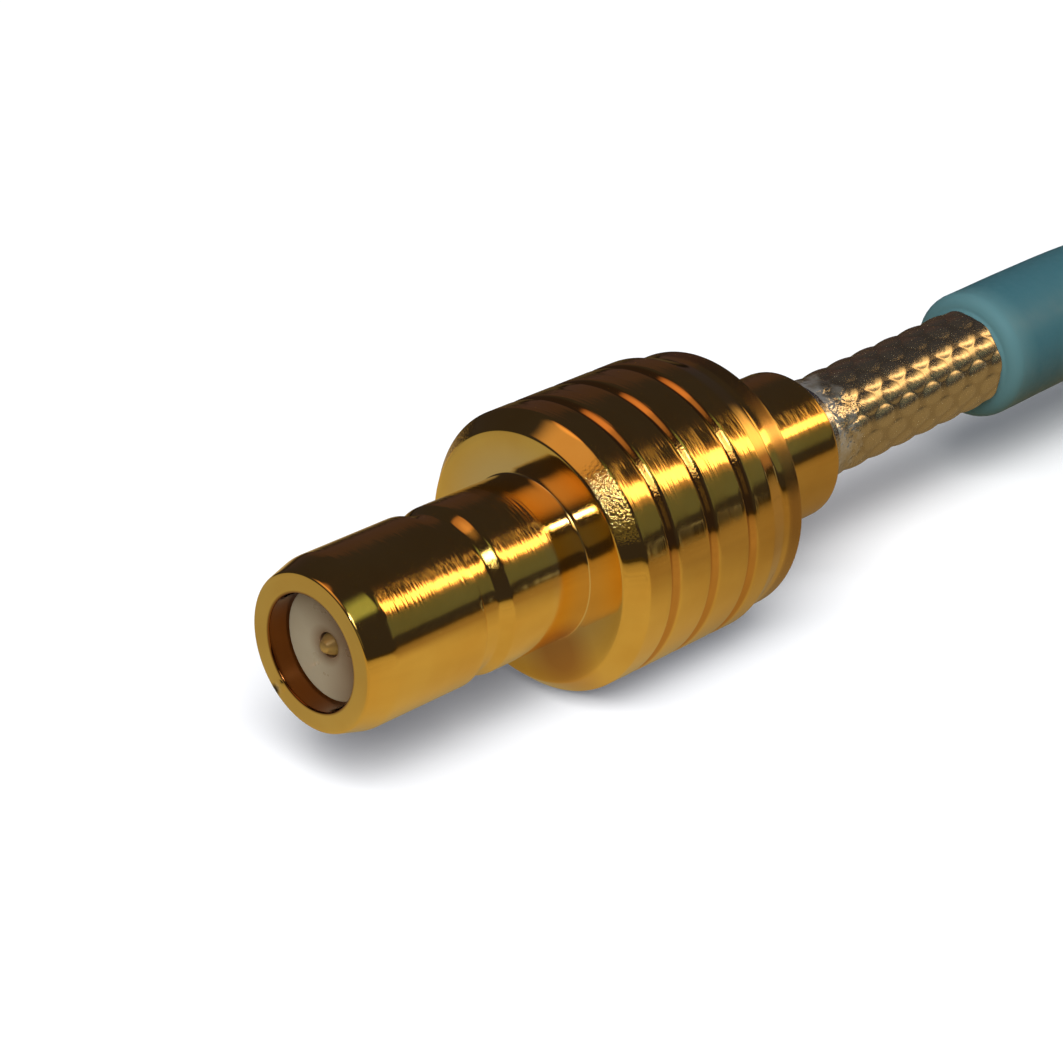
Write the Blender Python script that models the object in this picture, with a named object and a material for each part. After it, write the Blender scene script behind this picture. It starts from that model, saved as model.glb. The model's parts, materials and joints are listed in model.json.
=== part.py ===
"""A push-on coaxial jack soldered to each end of a short jacketed jumper cable.

+Y runs along the near jack's axis, from its mating face towards the cable, and +Z is up.
The jacks and the cable coil lie on the plane z = 0. The origin is on that plane, under the
middle of the near jack and its bare braid. Lengths are in metres.
"""

import math

import bmesh
import bpy
from mathutils import Vector

MM = 0.001

# Facets around each turned form
BODY_SIDES = 36
FERRULE_SIDES = 24
INSULATOR_SIDES = 24
CONTACT_SIDES = 16
COIL_SIDES = 48

# Snap barrel and neck, from the mating face back
RIM_RADIUS = 1.68 * MM
TAPER_LENGTH = 0.62 * MM
BARREL_RADIUS = 1.85 * MM
BARREL_LENGTH = 3.05 * MM
SNAP_GROOVE_RADIUS = 1.70 * MM
SNAP_GROOVE_WIDTH = 0.50 * MM
SNAP_RAMP_LENGTH = 0.27 * MM
NECK_RADIUS = 1.83 * MM
NECK_LENGTH = 2.18 * MM
NECK_FILLET = 0.08 * MM

# Grip body with its grooves, and the cone and land behind it
FRONT_FACE_RADIUS = 2.77 * MM
FRONT_CHAMFER_KNEE_LENGTH = 0.36 * MM
FRONT_CHAMFER_KNEE_RADIUS = 3.065 * MM
FRONT_CHAMFER_LENGTH = 0.43 * MM
BODY_RADIUS = 3.125 * MM
FIRST_LAND_LENGTH = 0.65 * MM
GROOVE_COUNT = 3
GROOVE_PITCH = 1.195 * MM
GROOVE_DEPTH = 0.10 * MM
GROOVE_FLOOR_LENGTH = 0.14 * MM
GROOVE_RAMP_LENGTH = 0.16 * MM
LAST_LAND_LENGTH = 0.53 * MM
REAR_CONE_LENGTH = 0.49 * MM
REAR_RADIUS = 2.955 * MM
REAR_LAND_LENGTH = 0.60 * MM
REAR_EDGE_CHAMFER = 0.04 * MM

# Socket, insulators and centre contact
SOCKET_RADIUS = 1.231 * MM
INSULATOR_RECESS = 0.50 * MM
SHOULDER_SETBACK = 0.80 * MM
FLANGE_LENGTH = 1.00 * MM
SPACER_LENGTH = 1.00 * MM
PIN_RADIUS = 0.25 * MM
PIN_TIP_RECESS = 0.33 * MM
PIN_TIP_LENGTH = 0.24 * MM
PIN_TIP_RADIUS = 0.11 * MM
POT_RADIUS = 0.45 * MM
POT_SEAT_LENGTH = 0.60 * MM
POT_OVERHANG = 0.75 * MM
POT_BORE_DEPTH = 1.60 * MM
SOLDER_HOLE_RADIUS = 0.12 * MM
POT_SOLDER_LENGTH = 0.16 * MM
POT_SOLDER_RADIUS = 0.40 * MM

# Cable ferrule, with the collar that stands out of the body
COLLAR_RADIUS = 1.72 * MM
COLLAR_LENGTH = 2.81 * MM
COLLAR_EDGE_RADIUS = 0.12 * MM
FERRULE_LIP_LENGTH = 0.35 * MM
FERRULE_EDGE_CHAMFER = 0.08 * MM

# Cable layers
CONDUCTOR_RADIUS = 0.27 * MM
DIELECTRIC_RADIUS = 0.94 * MM
BRAID_RADIUS = 1.19 * MM
BRAID_LENGTH = 6.70 * MM
BRAID_RELIEF = 0.07 * MM
BRAID_LAY = 7.00 * MM
BRAID_CARRIERS_EACH_WAY = 8
SAMPLES_PER_CARRIER = 4
JACKET_RADIUS = 1.555 * MM
SOLDER_LENGTH = 0.60 * MM
SOLDER_FOOT_RADIUS = 1.36 * MM
SOLDER_FEATHER = 0.02 * MM

# The cable leaves the collar at a slight upward slope, which starts just inside the collar.
CABLE_SLOPE = 0.0187
SLOPE_INSET = 0.60 * MM

# Clearances between pieces that touch
FIT_GAP = 0.03 * MM
SEAT_GAP = 0.03 * MM
CORD_GAP = 0.05 * MM

# How far the jacketed cable stays straight where it meets its braid
STRAIGHT_END = 1.0 * MM

# Coil of the spare cable, its ties, and the far jack's exit
COIL_CENTRE = Vector((17.0, 32.0)) * MM
COIL_RADIUS = 17.0 * MM
COIL_LEVELS = 2
LEVEL_GAP = 0.10 * MM
TIE_THICKNESS = 0.30 * MM
TIE_WIDTH = 1.80 * MM
TIE_GAP = 0.10 * MM
TIE_HEAD = Vector((1.1, 2.6, 2.4)) * MM
TIE_ANGLES = {"coil_tie_a": math.radians(90), "coil_tie_b": math.radians(210)}
FAR_EXIT_Y = 54.5 * MM

# Stations along the axis, from the mating face
GROOVE_START = BARREL_LENGTH
RAMP_START = GROOVE_START + SNAP_GROOVE_WIDTH
NECK_START = RAMP_START + SNAP_RAMP_LENGTH
BODY_FRONT = NECK_START + NECK_LENGTH
FIRST_LAND = BODY_FRONT + FRONT_CHAMFER_LENGTH
FIRST_GROOVE = FIRST_LAND + FIRST_LAND_LENGTH
GROOVE_LENGTH = GROOVE_FLOOR_LENGTH + GROOVE_RAMP_LENGTH
LAST_LAND = FIRST_GROOVE + (GROOVE_COUNT - 1) * GROOVE_PITCH + GROOVE_LENGTH
CONE_START = LAST_LAND + LAST_LAND_LENGTH
REAR_LAND = CONE_START + REAR_CONE_LENGTH
BODY_REAR = REAR_LAND + REAR_LAND_LENGTH
SHOULDER = BODY_FRONT + SHOULDER_SETBACK
SPACER_FRONT = SHOULDER + SEAT_GAP + FLANGE_LENGTH + SEAT_GAP
FERRULE_FRONT = SPACER_FRONT + SPACER_LENGTH + SEAT_GAP
COLLAR_REAR = BODY_REAR + COLLAR_LENGTH
JACKET_FRONT = COLLAR_REAR + BRAID_LENGTH
POT_FRONT = SHOULDER - POT_SEAT_LENGTH
POT_REAR = SPACER_FRONT + POT_OVERHANG

# Places in the whole model
AXIS_HEIGHT = BODY_RADIUS * math.cos(math.pi / BODY_SIDES)
NEAR_FACE_Y = -JACKET_FRONT / 2
LEVEL_PITCH = 2 * JACKET_RADIUS + LEVEL_GAP
FIRST_LEVEL = TIE_THICKNESS + TIE_GAP + JACKET_RADIUS


def material(name, colour, roughness, metallic):
    """A plain finish in the piece's own colour."""
    made = bpy.data.materials.new(name)
    made.use_nodes = True
    shader = made.node_tree.nodes["Principled BSDF"]
    shader.inputs["Base Color"].default_value = (*colour, 1.0)
    shader.inputs["Roughness"].default_value = roughness
    shader.inputs["Metallic"].default_value = metallic
    made.diffuse_color = (*colour, 1.0)
    return made


def finish_mesh(bm, name):
    """Welds the mesh, turns its faces outwards and shades its round stretches smooth."""
    weld = 0.0001 * MM
    bmesh.ops.remove_doubles(bm, verts=bm.verts, dist=weld)
    bmesh.ops.recalc_face_normals(bm, faces=bm.faces)
    mesh = bpy.data.meshes.new(name)
    bm.to_mesh(mesh)
    bm.free()
    mesh.shade_smooth()
    mesh.set_sharp_from_angle(angle=math.radians(28))
    return mesh


def add_object(name, data, finish, parent=None):
    """Puts data in the scene as a named object, under its parent where it has one."""
    made = bpy.data.objects.new(name, data)
    bpy.context.scene.collection.objects.link(made)
    if not data.materials:
        data.materials.append(finish)
    made.parent = parent
    return made


def around(station, radius, angle):
    """A point at this angle round the axis, counted from the underside."""
    return Vector((radius * math.sin(angle), station, -radius * math.cos(angle)))


def turned(name, outline, sides, closed=True):
    """Turns an outline of (station, radius) pairs round the axis, with a flat facet underneath.

    An outline that isn't closed starts and ends on the axis."""
    bm = bmesh.new()
    half_step = math.pi / sides
    points = [bm.verts.new(around(station, radius, half_step)) for station, radius in outline]
    edges = [bm.edges.new(pair) for pair in zip(points, points[1:])]
    if closed:
        edges.append(bm.edges.new((points[-1], points[0])))
    bmesh.ops.spin(
        bm,
        geom=points + edges,
        cent=(0, 0, 0),
        axis=(0, 1, 0),
        angle=math.tau,
        steps=sides,
    )
    return finish_mesh(bm, name)


def arc(centre, radius, start, end, steps):
    """Points of an arc in the (station, radius) plane, both ends included."""
    angles = [start + (end - start) * step / steps for step in range(steps + 1)]
    return [(centre[0] + radius * math.cos(a), centre[1] + radius * math.sin(a)) for a in angles]


def cable_rise(station):
    """How far the cable's centreline stands above the axis at this station."""
    return CABLE_SLOPE * max(0.0, station - (COLLAR_REAR - SLOPE_INSET))


def follow_cable(mesh):
    """Lifts a piece of the cable onto its sloping centreline."""
    for vertex in mesh.vertices:
        vertex.co.z += cable_rise(vertex.co.y)
    return mesh


def grip_grooves():
    """The grooves round the grip body: a square drop, a floor and a ramp back up."""
    outline = []
    floor_radius = BODY_RADIUS - GROOVE_DEPTH
    for number in range(GROOVE_COUNT):
        start = FIRST_GROOVE + number * GROOVE_PITCH
        outline.append((start, BODY_RADIUS))
        outline.append((start, floor_radius))
        outline.append((start + GROOVE_FLOOR_LENGTH, floor_radius))
        outline.append((start + GROOVE_LENGTH, BODY_RADIUS))
    return outline


def outer_body_mesh():
    """The one-piece shell: snap barrel, neck, grip body and rear land, bored from both ends."""
    fillet_centre = (BODY_FRONT - NECK_FILLET, NECK_RADIUS + NECK_FILLET)
    outline = [
        (0.0, RIM_RADIUS),
        (TAPER_LENGTH, BARREL_RADIUS),
        (GROOVE_START, BARREL_RADIUS),
        (GROOVE_START, SNAP_GROOVE_RADIUS),
        (RAMP_START, SNAP_GROOVE_RADIUS),
        (NECK_START, NECK_RADIUS),
        *arc(fillet_centre, NECK_FILLET, -math.pi / 2, 0, 2),
        (BODY_FRONT, FRONT_FACE_RADIUS),
        (BODY_FRONT + FRONT_CHAMFER_KNEE_LENGTH, FRONT_CHAMFER_KNEE_RADIUS),
        (FIRST_LAND, BODY_RADIUS),
        *grip_grooves(),
        (CONE_START, BODY_RADIUS),
        (REAR_LAND, REAR_RADIUS),
        (BODY_REAR - REAR_EDGE_CHAMFER, REAR_RADIUS),
        (BODY_REAR, REAR_RADIUS - REAR_EDGE_CHAMFER),
        (BODY_REAR, COLLAR_RADIUS + FIT_GAP),
        (SHOULDER, COLLAR_RADIUS + FIT_GAP),
        (SHOULDER, SOCKET_RADIUS),
        (0.0, SOCKET_RADIUS),
    ]
    return turned("outer_body", outline, BODY_SIDES)


def front_insulator_mesh():
    """The bead in the socket, with a flange behind the shoulder and a seat for the contact."""
    rear = SPACER_FRONT - SEAT_GAP
    flange_front = SHOULDER + SEAT_GAP
    outline = [
        (INSULATOR_RECESS, SOCKET_RADIUS - FIT_GAP),
        (flange_front, SOCKET_RADIUS - FIT_GAP),
        (flange_front, COLLAR_RADIUS),
        (rear, COLLAR_RADIUS),
        (rear, POT_RADIUS + FIT_GAP),
        (POT_FRONT - SEAT_GAP, POT_RADIUS + FIT_GAP),
        (POT_FRONT - SEAT_GAP, PIN_RADIUS + FIT_GAP),
        (INSULATOR_RECESS, PIN_RADIUS + FIT_GAP),
    ]
    return turned("front_insulator", outline, INSULATOR_SIDES)


def rear_insulator_mesh():
    """The spacer between the bead and the ferrule."""
    rear = SPACER_FRONT + SPACER_LENGTH
    outline = [
        (SPACER_FRONT, COLLAR_RADIUS),
        (rear, COLLAR_RADIUS),
        (rear, POT_RADIUS + FIT_GAP),
        (SPACER_FRONT, POT_RADIUS + FIT_GAP),
    ]
    return turned("rear_insulator", outline, INSULATOR_SIDES)


def contact_mesh():
    """The male pin with its cone tip in front and its solder pot behind."""
    bore_radius = CONDUCTOR_RADIUS + FIT_GAP
    bore_front = POT_REAR - POT_BORE_DEPTH
    outline = [
        (PIN_TIP_RECESS, 0.0),
        (PIN_TIP_RECESS, PIN_TIP_RADIUS),
        (PIN_TIP_RECESS + PIN_TIP_LENGTH, PIN_RADIUS),
        (POT_FRONT, PIN_RADIUS),
        (POT_FRONT, POT_RADIUS),
        (POT_REAR, POT_RADIUS),
        (POT_REAR, bore_radius),
        (bore_front, bore_radius),
        (bore_front, 0.0),
    ]
    return turned("centre_contact", outline, CONTACT_SIDES, closed=False)


def solder_hole_cutter(name, parent):
    """The drill that opens the contact's pot from above, so that solder can be fed in."""
    station = POT_REAR - POT_BORE_DEPTH / 2
    depth = 2 * POT_RADIUS
    bm = bmesh.new()
    bmesh.ops.create_cone(
        bm,
        cap_ends=True,
        segments=10,
        radius1=SOLDER_HOLE_RADIUS,
        radius2=SOLDER_HOLE_RADIUS,
        depth=depth,
    )
    bmesh.ops.translate(bm, verts=bm.verts, vec=(0, station, depth / 2))
    mesh = bpy.data.meshes.new(name)
    bm.to_mesh(mesh)
    bm.free()
    cutter = bpy.data.objects.new(name, mesh)
    bpy.context.scene.collection.objects.link(cutter)
    cutter.parent = parent
    cutter.hide_render = True
    cutter.display_type = "WIRE"
    return cutter


def contact_solder_mesh():
    """The cone of solder in the mouth of the pot, round the conductor."""
    inner = CONDUCTOR_RADIUS + FIT_GAP
    front = POT_REAR + SEAT_GAP
    outline = [
        (front, POT_SOLDER_RADIUS),
        (front + POT_SOLDER_LENGTH / 2, (POT_SOLDER_RADIUS + inner) / 2),
        (front + POT_SOLDER_LENGTH, inner + SOLDER_FEATHER),
        (front + POT_SOLDER_LENGTH, inner),
        (front, inner),
    ]
    return turned("contact_solder", outline, CONTACT_SIDES)


def ferrule_mesh():
    """The sleeve pressed into the body: a lip round the dielectric and a bore round the braid."""
    lip_rear = FERRULE_FRONT + FERRULE_LIP_LENGTH
    edge_centre = (COLLAR_REAR - COLLAR_EDGE_RADIUS, COLLAR_RADIUS - COLLAR_EDGE_RADIUS)
    outline = [
        (FERRULE_FRONT, COLLAR_RADIUS - FERRULE_EDGE_CHAMFER),
        (FERRULE_FRONT + FERRULE_EDGE_CHAMFER, COLLAR_RADIUS),
        *arc(edge_centre, COLLAR_EDGE_RADIUS, math.pi / 2, 0, 2),
        (COLLAR_REAR, BRAID_RADIUS + FIT_GAP),
        (lip_rear, BRAID_RADIUS + FIT_GAP),
        (lip_rear, DIELECTRIC_RADIUS + FIT_GAP),
        (FERRULE_FRONT, DIELECTRIC_RADIUS + FIT_GAP),
    ]
    return turned("cable_ferrule", outline, FERRULE_SIDES)


def solder_fillet_mesh():
    """The solder's meniscus between the collar's rear face and the braid."""
    inner = BRAID_RADIUS + FIT_GAP
    front = COLLAR_REAR + SEAT_GAP
    knee = inner + (SOLDER_FOOT_RADIUS - inner) * 0.3
    outline = [
        (front, SOLDER_FOOT_RADIUS),
        (front + SOLDER_LENGTH * 0.3, knee),
        (front + SOLDER_LENGTH, inner + SOLDER_FEATHER),
        (front + SOLDER_LENGTH, inner),
        (front, inner),
    ]
    return follow_cable(turned("solder_fillet", outline, FERRULE_SIDES))


def conductor_mesh():
    """The solid inner conductor, from the bottom of the contact's pot to the jacket."""
    front = POT_REAR - POT_BORE_DEPTH + SEAT_GAP
    outline = [
        (front, 0.0),
        (front, CONDUCTOR_RADIUS),
        (COLLAR_REAR, CONDUCTOR_RADIUS),
        (JACKET_FRONT, CONDUCTOR_RADIUS),
        (JACKET_FRONT, 0.0),
    ]
    return follow_cable(turned("cable_conductor", outline, CONTACT_SIDES, closed=False))


def dielectric_mesh():
    """The cable's insulation, cut back to the ferrule's front face."""
    inner = CONDUCTOR_RADIUS + FIT_GAP
    outline = [
        (FERRULE_FRONT, DIELECTRIC_RADIUS),
        (COLLAR_REAR, DIELECTRIC_RADIUS),
        (JACKET_FRONT, DIELECTRIC_RADIUS),
        (JACKET_FRONT, inner),
        (COLLAR_REAR, inner),
        (FERRULE_FRONT, inner),
    ]
    return follow_cable(turned("cable_dielectric", outline, INSULATOR_SIDES))


def weave_height(turn, station):
    """Height of the weave from 0 to 1 at a fraction of a turn round and a station along.

    Two sets of carriers wind opposite ways, and each goes over two and under two."""
    along = BRAID_CARRIERS_EACH_WAY * station / BRAID_LAY
    across = BRAID_CARRIERS_EACH_WAY * turn
    right = across + along
    left = across - along
    right_is_over = (math.floor(right + 0.5) + math.floor(left + 0.5)) % 4 < 2
    right_crown = math.cos(math.pi * right) ** 2
    left_crown = math.cos(math.pi * left) ** 2
    under = 0.45
    if right_is_over:
        return max(right_crown, under * left_crown)
    return max(left_crown, under * right_crown)


def braid_mesh():
    """The braid: plain inside the ferrule, and woven from the collar to the jacket."""
    around_count = BRAID_CARRIERS_EACH_WAY * SAMPLES_PER_CARRIER
    row_pitch = BRAID_LAY / around_count
    row_count = max(2, math.floor(BRAID_LENGTH / row_pitch))
    front = FERRULE_FRONT + FERRULE_LIP_LENGTH + SEAT_GAP
    woven = [COLLAR_REAR + row * row_pitch for row in range(row_count)]
    stations = [front, *woven, JACKET_FRONT]
    inner = DIELECTRIC_RADIUS + FIT_GAP
    bm = bmesh.new()

    def ring(station, radius_at):
        turns = [step / around_count for step in range(around_count)]
        return [bm.verts.new(around(station, radius_at(t), math.tau * t)) for t in turns]

    def crown(station):
        if station < COLLAR_REAR or station == JACKET_FRONT:
            return lambda turn: BRAID_RADIUS - BRAID_RELIEF / 2
        along = station - COLLAR_REAR
        return lambda turn: BRAID_RADIUS - BRAID_RELIEF * (1 - weave_height(turn, along))

    rings = [ring(station, crown(station)) for station in stations]
    rings.append(ring(JACKET_FRONT, lambda turn: inner))
    rings.append(ring(COLLAR_REAR, lambda turn: inner))
    rings.append(ring(front, lambda turn: inner))
    for one, other in zip(rings, rings[1:] + rings[:1]):
        for step in range(around_count):
            after = (step + 1) % around_count
            bm.faces.new((one[step], one[after], other[after], other[step]))
    return follow_cable(finish_mesh(bm, "cable_braid"))


def jack_end(prefix, parent, meshes, finishes):
    """One jack with the cable layers that it holds, each piece its own object."""
    for name, mesh in meshes.items():
        add_object(prefix + name, mesh, finishes[name], parent)
    contact = bpy.data.objects[prefix + "centre_contact"]
    drilled = contact.modifiers.new("solder_hole", "BOOLEAN")
    drilled.operation = "DIFFERENCE"
    drilled.solver = "EXACT"
    drilled.object = solder_hole_cutter(prefix + "solder_hole_cutter", parent)


def frame_empty(name, location, turn):
    """An empty that carries one jack: its origin is the middle of the mating face."""
    empty = bpy.data.objects.new(name, None)
    bpy.context.scene.collection.objects.link(empty)
    empty.location = location
    empty.rotation_euler = (0, 0, turn)
    return empty


def smooth_route(points, spacing):
    """Points about spacing apart on the smooth curve through the given ones.

    The first and the last stretch stay straight, so that the ends face what they meet."""
    dense = []
    fine = 24
    for a, b, c, d in zip(points, points[1:], points[2:], points[3:]):
        for step in range(fine):
            t = step / fine
            bend = 2 * b + t * (c - a) + t * t * (2 * a - 5 * b + 4 * c - d)
            dense.append((bend + t**3 * (3 * b - a - 3 * c + d)) / 2)
    dense.append(points[-2])
    lengths = [(q - p).length for p, q in zip(dense, dense[1:])]
    total = sum(lengths)
    count = max(2, round(total / spacing))
    route = [points[0], dense[0]]
    gone = 0.0
    for length, point in zip(lengths, dense[1:-1]):
        gone += length
        if gone >= total * (len(route) - 1) / count - length / 2:
            route.append(point)
    return [*route, dense[-1], points[-1]]


def tube(name, route, finish):
    """A plain stretch of jacketed cable along a route."""
    curve = bpy.data.curves.new(name, "CURVE")
    curve.dimensions = "3D"
    curve.bevel_depth = JACKET_RADIUS
    curve.bevel_resolution = 2
    curve.use_fill_caps = True
    spline = curve.splines.new("POLY")
    spline.points.add(len(route) - 1)
    for point, place in zip(spline.points, route):
        point.co = (*place, 1.0)
    return add_object(name, curve, finish)


def coil_point(angle, height, radius=COIL_RADIUS):
    """A point of the coil at this angle past the place where the cable runs into it."""
    x = COIL_CENTRE.x - radius * math.cos(angle)
    return Vector((x, COIL_CENTRE.y + radius * math.sin(angle), height))


def lead_route():
    """From the near jack's jacket, straight out and then down to the coil's first level."""
    start = NEAR_FACE_Y + JACKET_FRONT + CORD_GAP
    height = AXIS_HEIGHT + cable_rise(JACKET_FRONT)
    return [
        Vector((0.0, start, height)),
        Vector((0.0, start + STRAIGHT_END, height + CABLE_SLOPE * STRAIGHT_END)),
        Vector((0.0, 13.0 * MM, 3.30 * MM)),
        Vector((0.0, 15.5 * MM, 3.29 * MM)),
        Vector((0.0, 18.5 * MM, 3.07 * MM)),
        Vector((0.0, 20.9 * MM, 2.78 * MM)),
        Vector((0.0, 21.4 * MM, 2.72 * MM)),
    ]


def tail_route():
    """From the top of the coil, off it along +Y, and down into the far jack's jacket."""
    top = FIRST_LEVEL + COIL_LEVELS * LEVEL_PITCH
    end = FAR_EXIT_Y - CORD_GAP
    height = AXIS_HEIGHT + cable_rise(JACKET_FRONT)
    return [
        coil_point(math.radians(-32), top),
        coil_point(math.radians(-29), top),
        coil_point(math.radians(-15), top),
        coil_point(0.0, top),
        Vector((0.0, 35.0 * MM, 8.375 * MM)),
        Vector((0.0, 38.5 * MM, 8.31 * MM)),
        Vector((0.0, 41.5 * MM, 7.80 * MM)),
        Vector((0.0, 45.0 * MM, 6.10 * MM)),
        Vector((0.0, 48.5 * MM, 4.25 * MM)),
        Vector((0.0, 51.0 * MM, 3.49 * MM)),
        Vector((0.0, end - STRAIGHT_END, height + CABLE_SLOPE * STRAIGHT_END)),
        Vector((0.0, end, height)),
    ]


def coil_section(clearance, steps):
    """The coil's cross-section grown by a clearance, as (offset, height) pairs: a tall oval."""
    radius = JACKET_RADIUS + clearance
    low = (0.0, FIRST_LEVEL)
    high = (0.0, FIRST_LEVEL + (COIL_LEVELS - 1) * LEVEL_PITCH)
    return arc(low, radius, -math.pi, 0.0, steps) + arc(high, radius, 0.0, math.pi, steps)


def coil_mesh():
    """The coiled turns as one turned ring of their outer shape."""
    bm = bmesh.new()
    section = coil_section(0.0, 4)
    points = [bm.verts.new(coil_point(0.0, z, COIL_RADIUS + offset)) for offset, z in section]
    edges = [bm.edges.new(pair) for pair in zip(points, points[1:] + points[:1])]
    bmesh.ops.spin(
        bm,
        geom=points + edges,
        cent=(*COIL_CENTRE, 0.0),
        axis=(0, 0, 1),
        angle=math.tau,
        steps=COIL_SIDES,
    )
    return finish_mesh(bm, "cable_coil")


def tie_mesh(name, angle):
    """A strap round the coil's turns, closed by a square head on the coil's outer side."""
    across = Vector((math.sin(angle), math.cos(angle), 0.0)) * (TIE_WIDTH / 2)
    bm = bmesh.new()
    loops = []
    for clearance in (TIE_GAP, TIE_GAP + TIE_THICKNESS):
        for side in (-across, across):
            section = coil_section(clearance, 6)
            places = [coil_point(angle, z, COIL_RADIUS + offset) + side for offset, z in section]
            loops.append([bm.verts.new(place) for place in places])
    inner_back, inner_front, outer_back, outer_front = loops
    count = len(inner_back)
    for one, other in (
        (inner_back, inner_front),
        (inner_front, outer_front),
        (outer_front, outer_back),
        (outer_back, inner_back),
    ):
        for step in range(count):
            after = (step + 1) % count
            bm.faces.new((one[step], one[after], other[after], other[step]))
    return finish_mesh(bm, name)


def tie_head(name, angle):
    """The block that a tie's strap is pulled through."""
    middle = FIRST_LEVEL + (COIL_LEVELS - 1) * LEVEL_PITCH / 2
    reach = COIL_RADIUS + JACKET_RADIUS + TIE_GAP + TIE_THICKNESS / 2 + TIE_HEAD.x / 2
    bm = bmesh.new()
    bmesh.ops.create_cube(bm, size=1.0)
    bmesh.ops.scale(bm, verts=bm.verts, vec=TIE_HEAD)
    mesh = bpy.data.meshes.new(name)
    bm.to_mesh(mesh)
    bm.free()
    head = bpy.data.objects.new(name, mesh)
    bpy.context.scene.collection.objects.link(head)
    head.location = coil_point(angle, middle, reach)
    head.rotation_euler = (0, 0, math.pi - angle)
    head.hide_render = True
    head.display_type = "WIRE"
    return head


def coil_tie(name, angle, finish):
    """One tie: the strap with its head joined on."""
    tie = add_object(name, tie_mesh(name, angle), finish)
    joined = tie.modifiers.new("head", "BOOLEAN")
    joined.operation = "UNION"
    joined.solver = "EXACT"
    joined.object = tie_head(name + "_head_guide", angle)


def clear_scene():
    for old in list(bpy.data.objects):
        bpy.data.objects.remove(old, do_unlink=True)


def main():
    clear_scene()
    gold = material("gold_plate", (0.83, 0.56, 0.19), 0.22, 1.0)
    ptfe = material("ptfe", (0.86, 0.85, 0.82), 0.45, 0.0)
    solder = material("solder", (0.70, 0.69, 0.66), 0.32, 1.0)
    tinned = material("tinned_braid", (0.62, 0.58, 0.50), 0.38, 1.0)
    copper = material("silvered_copper", (0.78, 0.62, 0.48), 0.3, 1.0)
    core = material("core_insulation", (0.88, 0.87, 0.84), 0.5, 0.0)
    jacket = material("teal_jacket", (0.10, 0.30, 0.34), 0.42, 0.0)
    nylon = material("nylon", (0.80, 0.80, 0.78), 0.5, 0.0)

    meshes = {
        "outer_body": outer_body_mesh(),
        "front_insulator": front_insulator_mesh(),
        "centre_contact": contact_mesh(),
        "rear_insulator": rear_insulator_mesh(),
        "contact_solder": contact_solder_mesh(),
        "cable_ferrule": ferrule_mesh(),
        "solder_fillet": solder_fillet_mesh(),
        "cable_conductor": conductor_mesh(),
        "cable_dielectric": dielectric_mesh(),
        "cable_braid": braid_mesh(),
    }
    finishes = {
        "outer_body": gold,
        "front_insulator": ptfe,
        "centre_contact": gold,
        "rear_insulator": ptfe,
        "contact_solder": solder,
        "cable_ferrule": gold,
        "solder_fillet": solder,
        "cable_conductor": copper,
        "cable_dielectric": core,
        "cable_braid": tinned,
    }
    near = frame_empty("near_jack", (0.0, NEAR_FACE_Y, AXIS_HEIGHT), 0.0)
    far = frame_empty("far_jack", (0.0, FAR_EXIT_Y + JACKET_FRONT, AXIS_HEIGHT), math.pi)
    jack_end("", near, meshes, finishes)
    jack_end("far_", far, meshes, finishes)

    point_spacing = 4 * JACKET_RADIUS
    tube("cable_lead", smooth_route(lead_route(), point_spacing), jacket)
    tube("cable_tail", smooth_route(tail_route(), point_spacing), jacket)
    add_object("cable_coil", coil_mesh(), jacket)
    for name, angle in TIE_ANGLES.items():
        coil_tie(name, angle, nylon)


main()
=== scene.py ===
"""Looks of the small gold coaxial jack and its jumper cable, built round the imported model.

Lengths are in millimetres where a name says so or where MM multiplies them, and in metres
otherwise. A station is a distance in mm behind a jack's mating face. The near jack's axis runs
along +Y from that face, and +Z is up.
"""
import json
import math

import bpy
import numpy as np
from mathutils import Matrix, Vector

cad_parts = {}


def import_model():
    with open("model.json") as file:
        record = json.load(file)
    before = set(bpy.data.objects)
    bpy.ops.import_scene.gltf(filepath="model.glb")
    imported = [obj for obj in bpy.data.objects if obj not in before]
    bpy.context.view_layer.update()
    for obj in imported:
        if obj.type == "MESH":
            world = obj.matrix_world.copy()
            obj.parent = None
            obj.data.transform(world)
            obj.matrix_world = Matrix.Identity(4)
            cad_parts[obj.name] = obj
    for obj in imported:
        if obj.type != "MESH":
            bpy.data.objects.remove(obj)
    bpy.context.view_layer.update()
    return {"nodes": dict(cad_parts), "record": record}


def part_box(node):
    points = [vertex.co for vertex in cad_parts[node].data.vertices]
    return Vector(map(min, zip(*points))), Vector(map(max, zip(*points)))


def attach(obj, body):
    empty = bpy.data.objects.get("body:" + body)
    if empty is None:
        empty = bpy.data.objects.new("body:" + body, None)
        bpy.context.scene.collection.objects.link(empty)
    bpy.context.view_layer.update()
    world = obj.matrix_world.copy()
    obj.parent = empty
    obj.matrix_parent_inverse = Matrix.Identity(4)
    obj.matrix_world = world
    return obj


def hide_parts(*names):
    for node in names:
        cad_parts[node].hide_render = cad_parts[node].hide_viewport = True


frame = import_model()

MM = 0.001

# Places taken from the frame
NEAR_LOW, NEAR_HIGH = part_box("outer_body")
AXIS_Z = (NEAR_LOW.z + NEAR_HIGH.z) / 2
NEAR_FACE_Y = NEAR_LOW.y
FAR_FACE_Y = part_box("far_outer_body")[1].y

# Camera: a long lens looking down on the jack from its mating side
CAMERA_FROM_FACE = Vector((38.82, -33.26, 26.88)) * MM
CAMERA_RIGHT = Vector((0.7125, 0.7017, 0.0))
CAMERA_FORWARD = Vector((-0.6336, 0.6433, -0.4298))
LENS_MM = 100.0
SENSOR_MM = 36.0
CLIP_FROM = 1.0 * MM
CLIP_TO = 10.0


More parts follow.
